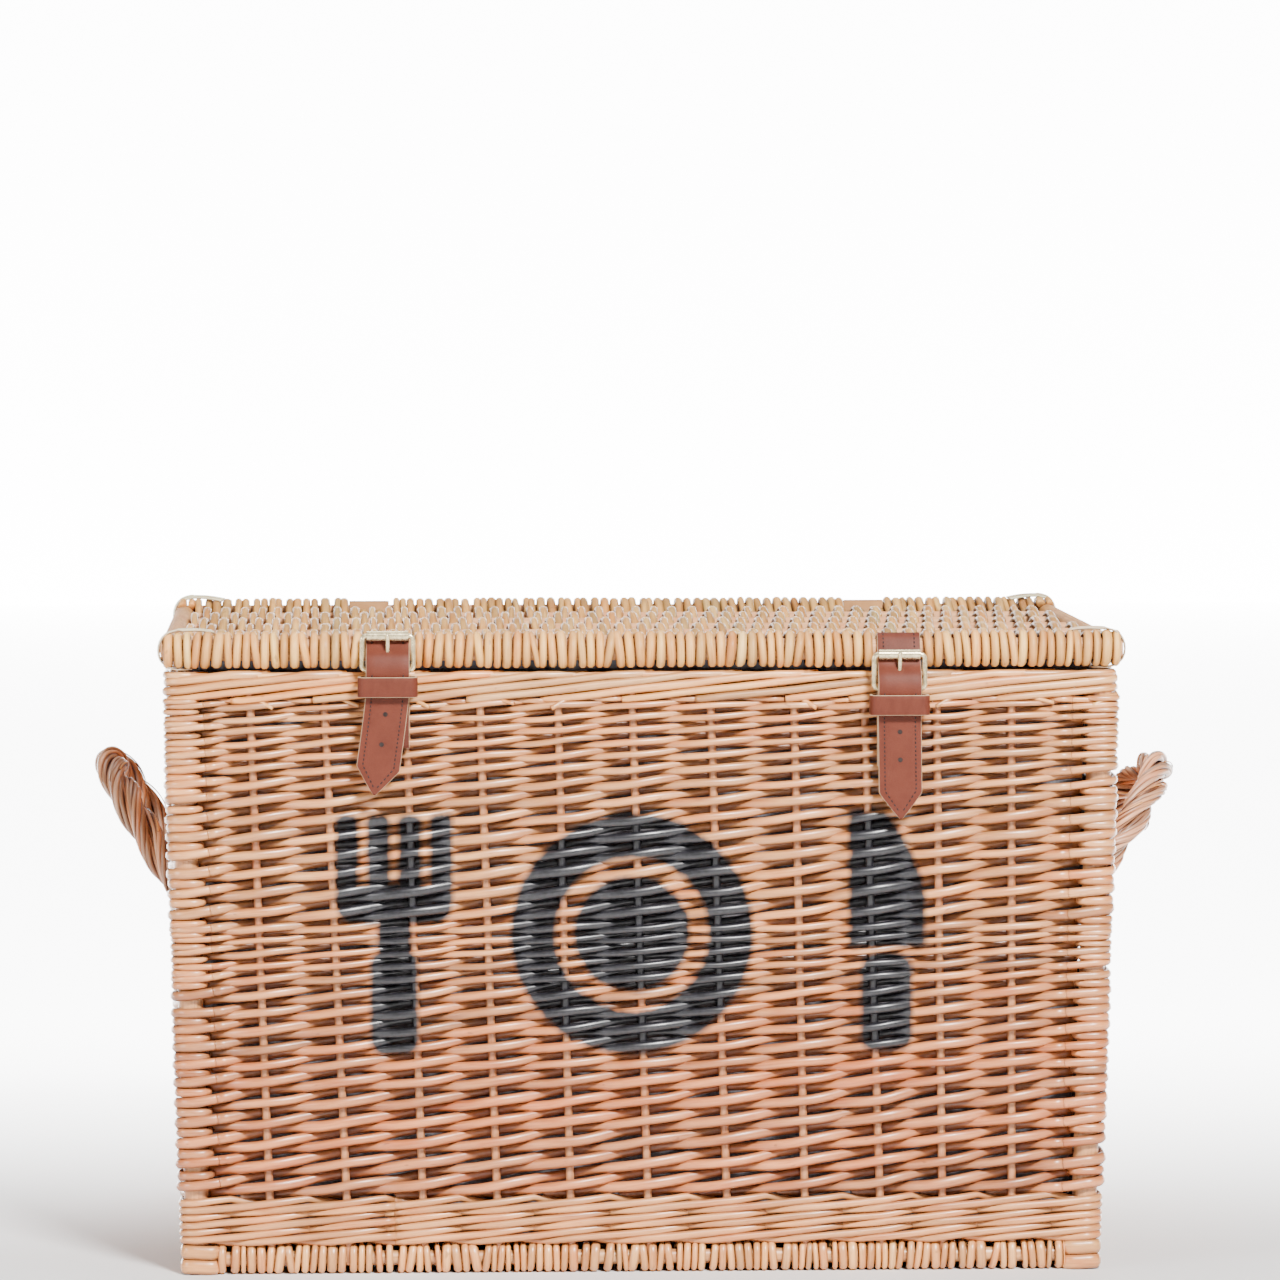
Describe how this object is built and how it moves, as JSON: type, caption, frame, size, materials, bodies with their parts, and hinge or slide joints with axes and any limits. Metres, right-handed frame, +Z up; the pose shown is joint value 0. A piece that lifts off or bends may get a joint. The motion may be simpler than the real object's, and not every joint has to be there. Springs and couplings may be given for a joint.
{
  "type": "wicker picnic basket",
  "caption": "Rectangular willow picnic hamper with a hinged woven lid, two leather strap-and-buckle closures, two twisted-willow rope handles and a cloth lining.",
  "frame": {"origin": "centre of the base on the surface it stands on", "axes": "+X to the basket's right seen from the front, -Y towards the front with the buckles, +Z up"},
  "size_m": [0.6128, 0.3897, 0.36],
  "materials": {
    "willow": "buff willow rods, satin, peeled",
    "willow_pale": "paler buff willow, satin",
    "willow_lid": "buff willow, slightly yellower, satin",
    "willow_rope": "twisted thin willow rods, satin",
    "leather": "reddish tan, semi-matte, cream cut edges",
    "buckle_metal": "pale brass plate, polished",
    "grey_cloth": "plain grey woven cotton, matte"
  },
  "bodies": {
    "basket": {"front_stakes": "willow", "back_stakes": "willow", "left_stakes": "willow", "right_stakes": "willow", "front_weave": "willow", "back_weave": "willow", "left_weave": "willow", "right_weave": "willow", "corner_post_front_left": "willow", "corner_post_front_right": "willow", "corner_post_back_left": "willow", "corner_post_back_right": "willow", "corner_wrap_front_left": "willow", "corner_wrap_front_right": "willow", "corner_wrap_back_left": "willow", "corner_wrap_back_right": "willow", "base_sticks": "willow", "base_weave": "willow", "foot_border": "willow_pale", "waling_band": "willow_pale", "top_border": "willow_pale", "hinge_loop_left": "leather", "hinge_loop_right": "leather", "chape_left": "leather", "chape_right": "leather", "keeper_left": "leather", "keeper_right": "leather", "chape_rivet_left": "buckle_metal", "chape_rivet_right": "buckle_metal", "cloth_lining": "grey_cloth"},
    "lid": {"lid_weave": "willow_lid", "lid_front_stick": "willow_lid", "lid_back_stick": "willow_lid", "lid_inner_sticks": "willow_lid", "lid_end_sticks": "willow_lid", "lid_corner_skeins": "willow_pale"},
    "closing_strap_left": {"strap_left": "leather"},
    "closing_strap_right": {"strap_right": "leather"},
    "buckle_left": {"buckle_frame_left": "buckle_metal"},
    "buckle_right": {"buckle_frame_right": "buckle_metal"},
    "roller_left": {"buckle_roller_left": "buckle_metal"},
    "roller_right": {"buckle_roller_right": "buckle_metal"},
    "tongue_left": {"buckle_tongue_left": "buckle_metal"},
    "tongue_right": {"buckle_tongue_right": "buckle_metal"},
    "handle_left": {"rope_handle_left": "willow_rope"},
    "handle_right": {"rope_handle_right": "willow_rope"}
  },
  "joints": [
    {"name": "lid_hinge", "type": "hinge", "parent": "basket", "child": "lid", "pos_m": [0, 0.179, 0.3485], "axis": [-1, 0, 0], "range_deg": [0, 105]},
    {"name": "strap_left_swing", "type": "hinge", "parent": "lid", "child": "closing_strap_left", "pos_m": [-0.1415, -0.179, 0.3485], "axis": [-1, 0, 0], "range_deg": [-90, 0], "deforming": ["strap_left"]},
    {"name": "buckle_left_tilt", "type": "hinge", "parent": "basket", "child": "buckle_left", "pos_m": [-0.1415, -0.192, 0.338], "axis": [1, 0, 0], "range_deg": [0, 95]},
    {"name": "tongue_left_tilt", "type": "hinge", "parent": "basket", "child": "tongue_left", "pos_m": [-0.1415, -0.192, 0.338], "axis": [1, 0, 0], "range_deg": [0, 95]},
    {"name": "roller_left_spin", "type": "hinge", "parent": "buckle_left", "child": "roller_left", "pos_m": [-0.1415, -0.192, 0.357], "axis": [1, 0, 0], "continuous": true},
    {"name": "strap_right_swing", "type": "hinge", "parent": "lid", "child": "closing_strap_right", "pos_m": [0.1415, -0.179, 0.3485], "axis": [-1, 0, 0], "range_deg": [-90, 0], "deforming": ["strap_right"]},
    {"name": "buckle_right_tilt", "type": "hinge", "parent": "basket", "child": "buckle_right", "pos_m": [0.1415, -0.192, 0.327], "axis": [1, 0, 0], "range_deg": [0, 95]},
    {"name": "tongue_right_tilt", "type": "hinge", "parent": "basket", "child": "tongue_right", "pos_m": [0.1415, -0.192, 0.327], "axis": [1, 0, 0], "range_deg": [0, 95]},
    {"name": "roller_right_spin", "type": "hinge", "parent": "buckle_right", "child": "roller_right", "pos_m": [0.1415, -0.192, 0.346], "axis": [1, 0, 0], "continuous": true},
    {"name": "handle_left_swing", "type": "hinge", "parent": "basket", "child": "handle_left", "pos_m": [-0.261, 0, 0.205], "axis": [0, -1, 0], "range_deg": [-6, 45]},
    {"name": "handle_right_swing", "type": "hinge", "parent": "basket", "child": "handle_right", "pos_m": [0.261, 0, 0.205], "axis": [0, 1, 0], "range_deg": [-6, 45]}
  ],
  "couplings": [
    {"joint": "strap_left_swing", "follows": "lid_hinge", "ratio": -0.857},
    {"joint": "buckle_left_tilt", "follows": "lid_hinge", "ratio": 0.9},
    {"joint": "tongue_left_tilt", "follows": "lid_hinge", "ratio": 0.9},
    {"joint": "strap_right_swing", "follows": "lid_hinge", "ratio": -0.857},
    {"joint": "buckle_right_tilt", "follows": "lid_hinge", "ratio": 0.9},
    {"joint": "tongue_right_tilt", "follows": "lid_hinge", "ratio": 0.9}
  ]
}
